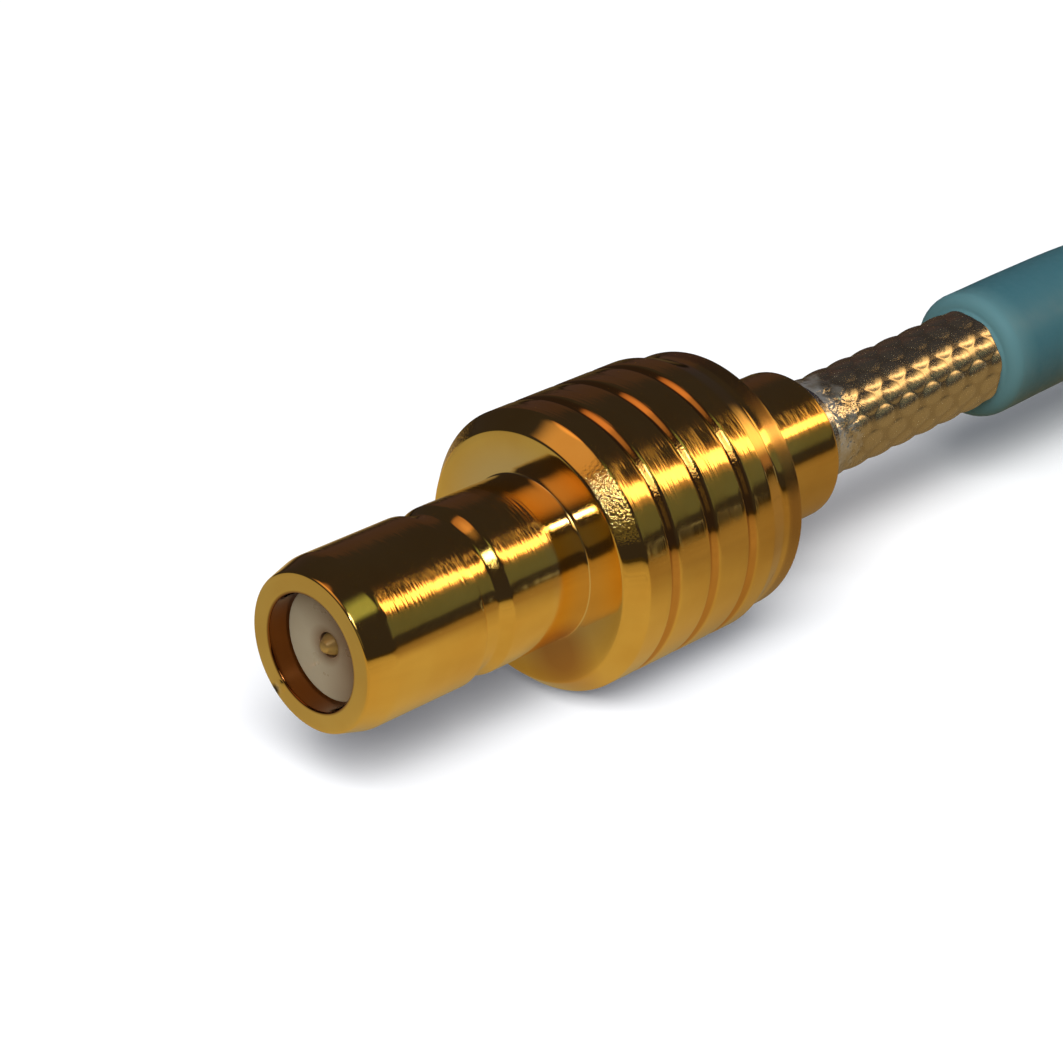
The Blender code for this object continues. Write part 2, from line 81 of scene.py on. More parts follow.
def place_camera():
    """A camera at the photograph's viewing angle."""
    forward = CAMERA_FORWARD.normalized()
    right = CAMERA_RIGHT.normalized()
    up = right.cross(forward).normalized()
    turn = Matrix((right, up, -forward)).transposed().to_4x4()
    data = bpy.data.cameras.new("camera")
    data.lens = LENS_MM
    data.sensor_width = SENSOR_MM
    data.clip_start = CLIP_FROM
    data.clip_end = CLIP_TO
    camera = bpy.data.objects.new("camera", data)
    face_centre = Vector((0.0, NEAR_FACE_Y, AXIS_Z))
    camera.matrix_world = Matrix.Translation(face_centre + CAMERA_FROM_FACE) @ turn
    bpy.context.scene.collection.objects.link(camera)
    bpy.context.scene.camera = camera


place_camera()

# The cable's route, which repeats the points of the CAD tubes
JACKET_RADIUS_MM = 1.555
JACKET_FRONT_MM = 20.9
CABLE_SLOPE = 0.0187
SLOPE_START_MM = 13.6
CORD_GAP_MM = 0.05
STRAIGHT_END_MM = 1.0
COIL_CENTRE_MM = (17.0, 32.0)
COIL_RADIUS_MM = 17.0
COIL_TURNS = 2
LEVEL_PITCH_MM = 3.21
FIRST_LEVEL_MM = 1.955
RISE_FROM = math.radians(250)
RISE_UNTIL = math.radians(325)
COIL_STEP = math.radians(15)


def cable_rise(station):
    """How far the cable's centreline stands above the jack's axis, in mm."""
    return CABLE_SLOPE * max(0.0, station - SLOPE_START_MM)


EXIT_Y_MM = NEAR_FACE_Y / MM + JACKET_FRONT_MM
EXIT_Z_MM = AXIS_Z / MM + cable_rise(JACKET_FRONT_MM)
FAR_EXIT_Y_MM = FAR_FACE_Y / MM - JACKET_FRONT_MM


def coil_point(angle):
    """The coil's centreline at this angle past its start, each turn lying on the one below."""
    turn, rest = divmod(angle, math.tau)
    t = min(1.0, max(0.0, (rest - RISE_FROM) / (RISE_UNTIL - RISE_FROM)))
    level = turn + t * t * (3 - 2 * t)
    x = COIL_CENTRE_MM[0] - COIL_RADIUS_MM * math.cos(angle)
    y = COIL_CENTRE_MM[1] + COIL_RADIUS_MM * math.sin(angle)
    return (x, y, FIRST_LEVEL_MM + level * LEVEL_PITCH_MM)


def cable_route():
    """Points off the near jack, two turns of coil, and down into the far jack."""
    start = EXIT_Y_MM + CORD_GAP_MM
    end = FAR_EXIT_Y_MM - CORD_GAP_MM
    straight_z = EXIT_Z_MM + CABLE_SLOPE * STRAIGHT_END_MM
    lead = [
        (0.0, start, EXIT_Z_MM),
        (0.0, start + STRAIGHT_END_MM, straight_z),
        (0.0, 13.0, 3.30),
        (0.0, 15.5, 3.29),
        (0.0, 18.5, 3.07),
        (0.0, 21.4, 2.72),
        (0.0, 25.0, 2.28),
        (0.0, 28.5, 2.02),
    ]
    steps = round(COIL_TURNS * math.tau / COIL_STEP)
    coil = [coil_point(step * COIL_STEP) for step in range(steps + 1)]
    tail = [
        (0.0, 35.0, 8.375),
        (0.0, 38.5, 8.31),
        (0.0, 41.5, 7.80),
        (0.0, 45.0, 6.10),
        (0.0, 48.5, 4.25),
        (0.0, 51.0, 3.49),
        (0.0, end - STRAIGHT_END_MM, straight_z),
        (0.0, end, EXIT_Z_MM),
    ]
    return [np.array(point) for point in lead + coil + tail]


def smooth_curve(points, steps):
    """A smooth curve through the points, with this many steps from each to the next."""
    padded = [2 * points[0] - points[1], *points, 2 * points[-1] - points[-2]]
    curve = []
    for a, b, c, d in zip(padded, padded[1:], padded[2:], padded[3:]):
        for step in range(steps):
            t = step / steps
            square = t * t * (2 * a - 5 * b + 4 * c - d)
            cube = t * t * t * (3 * b - a - 3 * c + d)
            curve.append((2 * b + t * (c - a) + square + cube) / 2)
    curve.append(points[-1])
    return np.array(curve)


def mesh_object(name, vertices_mm, quads, attributes):
    """A smooth mesh piece from vertices in mm, turned right side out."""
    vertices = np.asarray(vertices_mm, float) * MM
    corners = vertices[quads]
    volume = 0.0
    for i, j, k in ((0, 1, 2), (0, 2, 3)):
        crossed = np.cross(corners[:, j], corners[:, k])
        volume += float(np.einsum("ij,ij->", corners[:, i], crossed))
    if volume < 0:
        quads = quads[:, ::-1]
    mesh = bpy.data.meshes.new(name)
    mesh.from_pydata(vertices.tolist(), [], quads.tolist())
    mesh.shade_smooth()
    for key, values in attributes.items():
        layer = mesh.attributes.new(key, "FLOAT", "POINT")
        layer.data.foreach_set("value", np.asarray(values, np.float32))
    made = bpy.data.objects.new(name, mesh)
    bpy.context.scene.collection.objects.link(made)
    return made


def ring_faces(rows, sides, closed):
    """Quads from each ring of points to the next, and from the last to the first if closed."""
    here = np.arange(sides)[None]
    after = (here + 1) % sides
    row = np.arange(rows if closed else rows - 1)[:, None]
    low = row * sides
    high = ((row + 1) % rows) * sides
    return np.stack([low + here, low + after, high + after, high + here], -1).reshape(-1, 4)


def swept(centres, radii, sides):
    """The points and faces of a round tube along centres."""
    tangents = np.gradient(centres, axis=0)
    tangents /= np.linalg.norm(tangents, axis=1)[:, None]
    side = np.cross(tangents, (0.0, 0.0, 1.0))
    side /= np.linalg.norm(side, axis=1)[:, None]
    up = np.cross(side, tangents)
    angles = np.arange(sides) * math.tau / sides
    cosines = np.cos(angles)[None, :, None]
    sines = np.sin(angles)[None, :, None]
    ring = cosines * side[:, None] + sines * up[:, None]
    points = centres[:, None] + ring * np.asarray(radii)[:, None, None]
    return points.reshape(-1, 3), ring_faces(len(centres), sides, False)


# The jacket's rounded ends, and how finely it is drawn
JACKET_SIDES = 48
CURVE_STEPS = 12
JACKET_STEP_MM = 0.35
SHORTEST_STEP_MM = 0.2
EDGE_ROUNDING_MM = 0.35
EDGE_STEPS = 8
JACKET_BORE_MM = 1.2
CAP_CENTRE_MM = 0.01
RING_SPACING_MM = 1e-4


def jacket_piece():
    """The jacketed cable from end to end, with a rounded front edge at both jacks."""
    fine = smooth_curve(cable_route(), CURVE_STEPS)
    gone = np.concatenate([[0.0], np.cumsum(np.linalg.norm(np.diff(fine, axis=0), axis=1))])
    length = gone[-1]
    ease = np.linspace(0, math.pi / 2, EDGE_STEPS + 1)
    start = EDGE_ROUNDING_MM * (1 - np.cos(ease))
    first = EDGE_ROUNDING_MM + JACKET_STEP_MM
    last = length - EDGE_ROUNDING_MM - SHORTEST_STEP_MM
    even = np.arange(first, last, JACKET_STEP_MM)
    places = np.concatenate([[0.0, 0.0], start, even, (length - start)[::-1], [length, length]])
    swell = JACKET_BORE_MM + (JACKET_RADIUS_MM - JACKET_BORE_MM) * np.sin(ease)
    full = np.full(len(even), JACKET_RADIUS_MM)
    cap = [CAP_CENTRE_MM, JACKET_BORE_MM]
    radii = np.concatenate([cap, swell, full, swell[::-1], cap[::-1]])
    centres = np.stack([np.interp(places, gone, fine[:, axis]) for axis in range(3)], -1)
    # The cap's rings are spaced out a little, so that each has a direction.
    count = len(cap) + len(ease)
    nudge = np.linspace(0, RING_SPACING_MM, count)[:, None]
    starting = fine[1] - fine[0]
    ending = fine[-1] - fine[-2]
    centres[:count] += starting / np.linalg.norm(starting) * nudge
    centres[-count:] -= ending / np.linalg.norm(ending) * nudge[::-1]
    vertices, quads = swept(centres, radii, JACKET_SIDES)
    along = np.repeat(places, JACKET_SIDES)
    from_end = np.minimum(along, length - along)
    piece = mesh_object("jacketed_cable", vertices, quads, {"from_end": from_end})
    path = centres[1:-1] * MM
    return piece, path, length * MM


cable, cable_path, cable_length = jacket_piece()

# Turned pieces: a corner's rounding takes up to this share of its sides, in this many steps.
CORNER_SHARE = 0.45
CORNER_STEPS = 4


def soften(outline, closed):
    """Rounds each (station, radius, edge) corner of an outline by its edge radius."""
    count = len(outline)
    rounded = []
    for number, (station, radius, edge) in enumerate(outline):
        here = np.array((station, radius))
        if edge <= 0 or (not closed and number in (0, count - 1)):
            rounded.append(here)
            continue
        before = np.array(outline[number - 1][:2])
        after = np.array(outline[(number + 1) % count][:2])
        back = before - here
        ahead = after - here
        back_length = np.linalg.norm(back)
        ahead_length = np.linalg.norm(ahead)
        reach = min(edge, CORNER_SHARE * back_length, CORNER_SHARE * ahead_length)
        one = here + back / back_length * reach
        two = here + ahead / ahead_length * reach
        for t in np.linspace(0, 1, CORNER_STEPS + 1):
            rounded.append((1 - t) ** 2 * one + 2 * t * (1 - t) * here + t * t * two)
    return rounded


def subdivide(points, longest, closed):
    """Adds points so that no stretch is longer than this."""
    pairs = list(zip(points, points[1:]))
    if closed:
        pairs.append((points[-1], points[0]))
    made = []
    for one, two in pairs:
        steps = max(1, math.ceil(float(np.linalg.norm(two - one)) / longest))
        made += [one + (two - one) * step / steps for step in range(steps)]
    if not closed:
        made.append(points[-1])
    return np.array(made)


def at_end(far, stations, radii, angles, rises):
    """Places round a jack's axis in mm. Angles are counted from straight up towards +X."""
    across = radii * np.sin(angles)
    height = AXIS_Z / MM + radii * np.cos(angles) + rises
    if far:
        return np.stack([-across, FAR_FACE_Y / MM - stations, height], -1)
    return np.stack([across, NEAR_FACE_Y / MM + stations, height], -1)


def cable_rises(stations):
    """The cable's rise at each station, as a column for rings of points."""
    return np.array([cable_rise(station) for station in stations])[:, None]


def turned(name, far, outline, sides, longest, closed=True, on_cable=False, rules=None):
    """Turns an outline of (station, radius, edge) corners round a jack's axis."""
    profile = subdivide(soften(outline, closed), longest, closed)
    shape = (len(profile), sides)
    stations = np.broadcast_to(profile[:, :1], shape)
    radii = np.broadcast_to(profile[:, 1:], shape)
    angles = np.broadcast_to(np.arange(sides) * math.tau / sides, shape)
    rises = cable_rises(profile[:, 0]) if on_cable else 0.0
    vertices = at_end(far, stations, radii, angles, rises).reshape(-1, 3)
    values = {"station": stations.ravel(), "radius": radii.ravel()}
    for key, rule in (rules or {}).items():
        values[key] = np.repeat([rule(s, r) for s, r in profile], sides)
    return mesh_object(name, vertices, ring_faces(len(profile), sides, closed), values)


def ramp(value, low, high):
    """0 below low and 1 above high, eased between them."""
    t = min(1.0, max(0.0, (value - low) / (high - low)))
    return t * t * (3 - 2 * t)


def between(value, low, high, soft):
    """1 inside a stretch and 0 outside it, with soft edges."""
    return ramp(value, low - soft, low + soft) * (1 - ramp(value, high - soft, high + soft))


# Stations and radii of the jack's outlines
BODY_RADIUS_MM = (NEAR_HIGH.z - NEAR_LOW.z) / 2 / MM
FIT_GAP_MM = 0.03
RIM_RADIUS_MM = 1.68
TAPER_END_MM = 0.62
BARREL_RADIUS_MM = 1.85
SNAP_GROOVE_MM = 3.05
SNAP_GROOVE_END_MM = 3.55
SNAP_GROOVE_RADIUS_MM = 1.70
NECK_MM = 3.82
NECK_RADIUS_MM = 1.83
FRONT_FACE_MM = 6.0
FRONT_FACE_RADIUS_MM = 2.77
CHAMFER_KNEE_MM = 6.36
CHAMFER_KNEE_RADIUS_MM = 3.065
FIRST_LAND_MM = 6.43
GROOVE_STARTS_MM = (7.08, 8.275, 9.47)
GROOVE_DEPTH_MM = 0.10
GROOVE_WALL_MM = 0.02
GROOVE_FLOOR_MM = 0.14
GROOVE_LENGTH_MM = 0.28
GROOVE_SHADE_END_MM = 0.27
CONE_MM = 10.3
REAR_LAND_MM = 10.79
REAR_RADIUS_MM = 2.955
BODY_REAR_MM = 11.39
SOCKET_RADIUS_MM = 1.231
SHOULDER_MM = 6.8
COLLAR_RADIUS_MM = 1.72
FERRULE_FRONT_MM = 8.9
BRAID_SEAT_MM = 9.24
COLLAR_REAR_MM = 14.2
BRAID_BORE_MM = 1.22
CORE_BORE_MM = 0.97
BEAD_FACE_MM = 0.50
FLANGE_FRONT_MM = 6.83
FLANGE_REAR_MM = 7.83
POT_RECESS_MM = 6.17
PIN_TIP_MM = 0.33
PIN_TIP_EDGE_MM = 0.335
PIN_TIP_RADIUS_MM = 0.11
PIN_CONE_END_MM = 0.57
PIN_RADIUS_MM = 0.25
PIN_BORE_MM = 0.265
POT_MM = 6.2
POT_RADIUS_MM = 0.45
POT_BORE_RADIUS_MM = 0.30
POT_BORE_FRONT_MM = 7.01
POT_REAR_MM = 8.61
ON_AXIS_MM = 0.0005
FILLET_BORE_MM = 1.215
FILLET_RADIUS_MM = 1.33
FILLET_KNEE_MM = 14.36
FILLET_KNEE_RADIUS_MM = 1.255
FILLET_REAR_MM = 14.80
FILLET_REAR_RADIUS_MM = 1.227


def body_outline():
    """The shell from its rim back over barrel, neck and grip body, and through its bores."""
    corners = [
        (0.0, SOCKET_RADIUS_MM, 0.05),
        (0.0, RIM_RADIUS_MM, 0.05),
        (TAPER_END_MM, BARREL_RADIUS_MM, 0.10),
        (SNAP_GROOVE_MM, BARREL_RADIUS_MM, 0.03),
        (SNAP_GROOVE_MM, SNAP_GROOVE_RADIUS_MM, 0.03),
        (SNAP_GROOVE_END_MM, SNAP_GROOVE_RADIUS_MM, 0.05),
        (NECK_MM, NECK_RADIUS_MM, 0.04),
        (FRONT_FACE_MM, NECK_RADIUS_MM, 0.03),
        (FRONT_FACE_MM, FRONT_FACE_RADIUS_MM, 0.05),
        (CHAMFER_KNEE_MM, CHAMFER_KNEE_RADIUS_MM, 0.06),
        (FIRST_LAND_MM, BODY_RADIUS_MM, 0.04),
    ]
    floor_radius = BODY_RADIUS_MM - GROOVE_DEPTH_MM
    for start in GROOVE_STARTS_MM:
        corners += [
            (start, BODY_RADIUS_MM, 0.02),
            (start + GROOVE_WALL_MM, floor_radius, 0.03),
            (start + GROOVE_FLOOR_MM, floor_radius, 0.04),
            (start + GROOVE_LENGTH_MM, BODY_RADIUS_MM, 0.07),
        ]
    corners += [
        (CONE_MM, BODY_RADIUS_MM, 0.03),
        (REAR_LAND_MM, REAR_RADIUS_MM, 0.06),
        (BODY_REAR_MM, REAR_RADIUS_MM, 0.04),
        (BODY_REAR_MM, COLLAR_RADIUS_MM + FIT_GAP_MM, 0.0),
        (SHOULDER_MM, COLLAR_RADIUS_MM + FIT_GAP_MM, 0.0),
        (SHOULDER_MM, SOCKET_RADIUS_MM, 0.0),
    ]
    return corners


def ferrule_outline():
    """The sleeve behind the body, bored for the braid and then for the core."""
    return [
        (FERRULE_FRONT_MM, CORE_BORE_MM, 0.0),
        (FERRULE_FRONT_MM, COLLAR_RADIUS_MM, 0.06),
        (COLLAR_REAR_MM, COLLAR_RADIUS_MM, 0.12),
        (COLLAR_REAR_MM, BRAID_BORE_MM, 0.02),
        (BRAID_SEAT_MM, BRAID_BORE_MM, 0.0),
        (BRAID_SEAT_MM, CORE_BORE_MM, 0.0),
    ]


def insulator_outline():
    """The bead in the socket, with its flange behind the shoulder."""
    bead_radius = SOCKET_RADIUS_MM - FIT_GAP_MM
    pot_recess_radius = POT_RADIUS_MM + FIT_GAP_MM
    return [
        (BEAD_FACE_MM, PIN_BORE_MM, 0.01),
        (BEAD_FACE_MM, bead_radius, 0.04),
        (FLANGE_FRONT_MM, bead_radius, 0.0),
        (FLANGE_FRONT_MM, COLLAR_RADIUS_MM, 0.0),
        (FLANGE_REAR_MM, COLLAR_RADIUS_MM, 0.0),
        (FLANGE_REAR_MM, pot_recess_radius, 0.0),
        (POT_RECESS_MM, pot_recess_radius, 0.0),
        (POT_RECESS_MM, PIN_BORE_MM, 0.0),
    ]


def contact_outline():
    """The pin from its cone tip to its solder pot, which is bored from behind."""
    return [
        (PIN_TIP_MM, ON_AXIS_MM, 0.0),
        (PIN_TIP_EDGE_MM, PIN_TIP_RADIUS_MM, 0.06),
        (PIN_CONE_END_MM, PIN_RADIUS_MM, 0.08),
        (POT_MM, PIN_RADIUS_MM, 0.0),
        (POT_MM, POT_RADIUS_MM, 0.03),
        (POT_REAR_MM, POT_RADIUS_MM, 0.03),
        (POT_REAR_MM, POT_BORE_RADIUS_MM, 0.0),
        (POT_BORE_FRONT_MM, POT_BORE_RADIUS_MM, 0.0),
        (POT_BORE_FRONT_MM, ON_AXIS_MM, 0.0),
    ]


def fillet_outline():
    """The ring of solder that thins out from the collar onto the braid."""
    front = COLLAR_REAR_MM + FIT_GAP_MM
    return [
        (front, FILLET_BORE_MM, 0.0),
        (front, FILLET_RADIUS_MM, 0.02),
        (FILLET_KNEE_MM, FILLET_KNEE_RADIUS_MM, 0.06),
        (FILLET_REAR_MM, FILLET_REAR_RADIUS_MM, 0.02),
        (FILLET_REAR_MM, FILLET_BORE_MM, 0.0),
    ]


# Stretches with turning lines, and rough stretches that glitter, as (from, to, how much) in mm
HAIRLINES_MM = (
    (0.66, 3.00, 0.8),
    (3.05, 3.50, 0.5),
    (3.86, 5.30, 0.8),
    (6.45, 6.74, 1.1),
    (6.74, 7.06, 0.35),
    (7.38, 7.84, 1.1),
    (7.84, 8.25, 0.35),
    (8.58, 9.04, 1.1),
    (9.04, 9.45, 0.35),
    (9.77, 10.27, 0.9),
)
ROUGH_MM = (
    (3.52, 3.81, 0.12),
    (6.03, 6.42, 1.0),
    (7.20, 7.40, 0.22),
    (8.395, 8.595, 0.22),
    (9.59, 9.79, 0.22),
)
DULL_MM = (11.0, 11.37)

# The finish rules leave out what lies nearer the axis than these radii. A rule gives how much of
# its finish there is at a station and a radius of an outline.
OUTSIDE_FROM_MM = 1.5
LANDS_FROM_MM = 3.0
REAR_LAND_FROM_MM = 2.9
COLLAR_FROM_MM = COLLAR_RADIUS_MM - 0.01


def weighted(station, radius, stretches, soft):
    """The strongest of the stretches at a station of the outside."""
    if radius < OUTSIDE_FROM_MM:
        return 0.0
    return max(much * between(station, low, high, soft) for low, high, much in stretches)


def hairline_rule(station, radius):
    return weighted(station, radius, HAIRLINES_MM, 0.03)


def rough_rule(station, radius):
    return weighted(station, radius, ROUGH_MM, 0.025)


# Where painted shade darkens the grooves.
def groove_shade_rule(station, radius):
    if radius < LANDS_FROM_MM:
        return 0.0
    return max(
        between(station, start + GROOVE_WALL_MM, start + GROOVE_SHADE_END_MM, 0.03)
        for start in GROOVE_STARTS_MM
    )


def dull_rule(station, radius):
    return between(station, *DULL_MM, 0.04) if radius > REAR_LAND_FROM_MM else 0.0


def collar_rule(station, radius):
    return 1.0 if radius > COLLAR_FROM_MM else 0.0


def everywhere(station, radius):
    return 1.0


BODY_RULES = {
    "hairline": hairline_rule,
    "rough": rough_rule,
    "dull": dull_rule,
    "groove": groove_shade_rule,
}
COLLAR_RULES = {"hairline": collar_rule}
PIN_RULES = {"satin": everywhere}

# Braid
BRAID_TOP_MM = 1.195
BRAID_RELIEF_MM = 0.042
BRAID_LAY_MM = 7.0
BRAID_SIDES = 288
BRAID_STEP_MM = 0.027
BRAID_FRONT_MM = 9.3
BRAID_HIDDEN_TO_MM = 13.9
BRAID_SHOWN_FROM_MM = 14.1
BRAID_END_GAP_MM = 0.02
CARRIERS = 8
WIRES_PER_CARRIER = 5
WIRE_HEIGHT = 0.04
LOWEST_WEAVE = 0.08
CROWN_ANGLE = math.radians(32.0)
CROWN_HALF_LENGTH_MM = 0.37
CROWN_HALF_WIDTH_MM = 0.30
WEAVE_SHIFT_MM = -0.10
WET_TO_MM = 14.6
SOLDER_END_MM = 15.5
SOLDER_FILL = 0.55
SOLDER_HEIGHT = 0.80


def weave(angles, stations):
    """Height from 0 to 1 of the crowns that the carriers make where they cross."""
    lay = math.atan2(math.tau * BRAID_TOP_MM, BRAID_LAY_MM)
    pitch = BRAID_LAY_MM / CARRIERS
    column = math.tau / (2 * CARRIERS)
    nearest = np.round((angles - CROWN_ANGLE) / column)
    highest = np.zeros_like(angles)
    for beside in (-1, 0, 1):
        number = nearest + beside
        odd = np.mod(number, 2)
        turn = 2 * odd - 1
        around = BRAID_TOP_MM * (angles - CROWN_ANGLE - number * column)
        gone = stations - odd * pitch / 2
        gone = gone - pitch * np.round(gone / pitch)
        for ahead in (-pitch, 0, pitch):
            step = gone + ahead
            crown = 1 - (step / CROWN_HALF_LENGTH_MM) ** 2 - (around / CROWN_HALF_WIDTH_MM) ** 2
            across = around * math.cos(lay) - turn * step * math.sin(lay)
            phase = math.pi * WIRES_PER_CARRIER * across / (2 * CROWN_HALF_WIDTH_MM)
            wires = WIRE_HEIGHT * np.abs(np.cos(phase)) * (crown > 0)
            highest = np.maximum(highest, crown + wires)
    return np.maximum(LOWEST_WEAVE, highest / (1 + WIRE_HEIGHT))


def braid_piece(name, far):
    """The bare braid with its carriers and wires, filled with solder next to the collar."""
    shown = np.arange(BRAID_SHOWN_FROM_MM, JACKET_FRONT_MM - BRAID_END_GAP_MM, BRAID_STEP_MM)
    hidden = [BRAID_FRONT_MM, BRAID_HIDDEN_TO_MM]
    stations = np.concatenate([hidden, shown])
    angles = np.arange(BRAID_SIDES) * math.tau / BRAID_SIDES
    grid_s, grid_t = np.meshgrid(stations, angles, indexing="ij")
    height = weave(grid_t, grid_s - WEAVE_SHIFT_MM)
    drying = np.clip((grid_s - WET_TO_MM) / (SOLDER_END_MM - WET_TO_MM), 0, 1)
    fill = SOLDER_FILL * (1 - drying)
    height = height * (1 - fill) + SOLDER_HEIGHT * fill
    height[: len(hidden)] = 0.5
    radii = BRAID_TOP_MM - BRAID_RELIEF_MM * (1 - height)
    outer = at_end(far, grid_s, radii, grid_t, cable_rises(stations))
    ends = np.array([stations[-1], BRAID_FRONT_MM])
    inner_s, inner_t = np.meshgrid(ends, angles, indexing="ij")
    inner = at_end(far, inner_s, np.full_like(inner_s, CORE_BORE_MM), inner_t, cable_rises(ends))
    vertices = np.concatenate([outer.reshape(-1, 3), inner.reshape(-1, 3)])
    quads = ring_faces(len(stations) + len(ends), BRAID_SIDES, True)
    values = {
        "station": np.concatenate([grid_s.ravel(), inner_s.ravel()]),
        "weave": np.concatenate([height.ravel(), np.zeros(inner_s.size)]),
    }
    return mesh_object(name, vertices, quads, values)


# Materials


class Nodes:
    """A node tree, with short calls to add nodes to it."""

    def __init__(self, tree):
        self.tree = tree

    def add(self, kind, inputs=None, **settings):
        node = self.tree.nodes.new(kind)
        for key, value in settings.items():
            setattr(node, key, value)
        for key, value in (inputs or {}).items():
            self.put(node.inputs[key], value)
        return node

    def put(self, socket, value):
        if isinstance(value, bpy.types.NodeSocket):
            self.tree.links.new(value, socket)
        else:
            socket.default_value = value

    def rays(self):
        return self.add("ShaderNodeLightPath").outputs

    def maths(self, operation, one, two, clamp=False):
        inputs = {0: one, 1: two}
        return self.add("ShaderNodeMath", inputs, operation=operation, use_clamp=clamp).outputs[0]

    def times(self, one, two):
        return self.maths("MULTIPLY", one, two)

    def spread(self, value, low, high, new_low=0.0, new_high=1.0, smooth=False):
        """Maps low to high onto new_low to new_high, and stops there."""
        inputs = {0: value, 1: low, 2: high, 3: new_low, 4: new_high}
        easing = "SMOOTHSTEP" if smooth else "LINEAR"
        node = self.add("ShaderNodeMapRange", inputs, clamp=True, interpolation_type=easing)
        return node.outputs[0]

    def blend(self, factor, one, two, how="MIX"):
        """Goes from one colour to the other by the factor. With ADD the other is added."""
        inputs = {0: factor, 6: one, 7: two}
        return self.add("ShaderNodeMix", inputs, data_type="RGBA", blend_type=how).outputs[2]


class Finish(Nodes):
    """A material on the Principled shader."""

    def __init__(self, name):
        self.material = bpy.data.materials.new(name)
        self.material.use_nodes = True
        super().__init__(self.material.node_tree)
        self.shader = self.tree.nodes["Principled BSDF"]

    def set(self, **values):
        for key, value in values.items():
            self.put(self.shader.inputs[key.replace("_", " ")], value)

    def attribute(self, name):
        return self.add("ShaderNodeAttribute", attribute_name=name).outputs["Fac"]

    def place(self):
        """The piece's own coordinates."""
        return self.add("ShaderNodeTexCoord").outputs["Object"]

    def split(self, vector):
        """The X, Y and Z of a vector."""
        return self.add("ShaderNodeSeparateXYZ", {"Vector": vector}).outputs

    def noise(self, vector, scale, detail=2.0, roughness=0.5, distortion=0.0):
        inputs = {"Vector": vector, "Scale": scale, "Detail": detail, "Roughness": roughness}
        inputs["Distortion"] = distortion
        return self.add("ShaderNodeTexNoise", inputs).outputs["Fac"]

    def bump(self, height, distance, strength=1.0, normal=None):
        inputs = {"Height": height, "Distance": distance, "Strength": strength}
        if normal is not None:
            inputs["Normal"] = normal
        return self.add("ShaderNodeBump", inputs).outputs["Normal"]


# Gold plate: its two tones, painted shade in grooves and bores and on the pin and the face, and a
# painted reflection in the corner
GOLD = (0.92, 0.61, 0.17, 1.0)
DEEP_GOLD = (0.86, 0.53, 0.13, 1.0)
GROOVE_SHADE_GOLD = (0.64, 0.32, 0.085, 1.0)
BORE_SHADE_GOLD = (0.26, 0.090, 0.022, 1.0)
CORNER_REFLECTION_GOLD = (0.84, 0.62, 0.30, 1.0)
DULL_GOLD = (0.45, 0.25, 0.09, 1.0)
PIN_GOLD = (0.36, 0.22, 0.08, 1.0)
PIN_SHADE = (0.10, 0.045, 0.015, 1.0)
FACE_SHADE_TONE = (0.56, 0.25, 0.09, 1.0)
DARK_MARK = (0.06, 0.035, 0.012, 1.0)

# Marks on the near jack, as (x, station, height over the axis, size) in mm
RIM_NOTCH_MM = (-1.10, 0.0, -1.22, 0.16)
RIM_CURL_MM = (-0.93, 0.0, -1.08, 0.15)
NECK_SPECK_MM = (0.93, 5.1, -1.60, 0.10)
# A spot of painted shade, reflected in the front face below the barrel.
FACE_SHADE_SPOT_MM = (0.95, FRONT_FACE_MM, -1.85, 1.15)
MARK_CORE = 0.35

# Roughness of the plate, and how each kind of finish changes it
PLATE_ROUGHNESS = 0.085
ROUGHNESS_CHANGES = {"hairline": 0.045, "rough": -0.03, "dull": 0.16, "satin": 0.25}


def ring_vector(f, along, around):
    """Coordinates that are long round the axis and short along it, for turning lines."""
    parts = f.split(f.place())
    station = f.times(f.attribute("station"), along)
    across = f.times(parts["X"], around)
    up = f.times(parts["Z"], around)
    return f.add("ShaderNodeCombineXYZ", {"X": station, "Y": across, "Z": up}).outputs[0]


def spot(f, mark_mm):
    """1 at the core of a mark on the near jack, and 0 further from it than its size."""
    x, station, height, size = (value * MM for value in mark_mm)
    centre = (x, NEAR_FACE_Y + station, AXIS_Z + height)
    away = f.add("ShaderNodeVectorMath", {0: f.place(), 1: centre}, operation="DISTANCE")
    return f.spread(away.outputs["Value"], MARK_CORE * size, size, 1.0, 0.0)


def plate_colour(f, place, height):
    """Gold that is deeper in patches, with a painted reflection in the corner, and painted shade in
    the bores, on the pin, on the face and in the grooves.
    """
    station = f.attribute("station")
    radius = f.attribute("radius")
    satin = f.attribute("satin")
    plate = f.blend(f.spread(f.noise(place, 700.0, 3.0), 0.35, 0.7), GOLD, DEEP_GOLD)
    # Painted reflection: paler gold where the neck meets the front face.
    corner = f.times(f.spread(station, 4.9, 5.7), f.spread(station, 6.1, 6.3, 1.0, 0.0))
    corner = f.times(corner, f.spread(radius, 2.0, 2.6, 0.8, 0.0))
    plate = f.blend(corner, plate, CORNER_REFLECTION_GOLD)
    # Painted shade: the bores are a dark red-brown, except on the pin.
    bore = f.spread(radius, 1.25, 1.30, 1.0, 0.0)
    plate = f.blend(f.maths("SUBTRACT", bore, satin, clamp=True), plate, BORE_SHADE_GOLD)
    plate = f.blend(f.times(satin, 0.35), plate, PIN_GOLD)
    shade = f.times(satin, f.spread(height, -0.16 * MM, 0.06 * MM))
    plate = f.blend(f.times(shade, 0.7), plate, PIN_SHADE)
    # Painted reflection of shade on the lower front face.
    plate = f.blend(f.times(spot(f, FACE_SHADE_SPOT_MM), 0.75), plate, FACE_SHADE_TONE)
    # Painted shade: the grooves are a darker red-brown.
    plate = f.blend(f.attribute("groove"), plate, GROOVE_SHADE_GOLD)
    plate = f.blend(f.times(f.attribute("dull"), 0.7), plate, DULL_GOLD)
    marks = f.maths("MAXIMUM", spot(f, RIM_NOTCH_MM), spot(f, NECK_SPECK_MM))
    return f.blend(marks, plate, DARK_MARK)


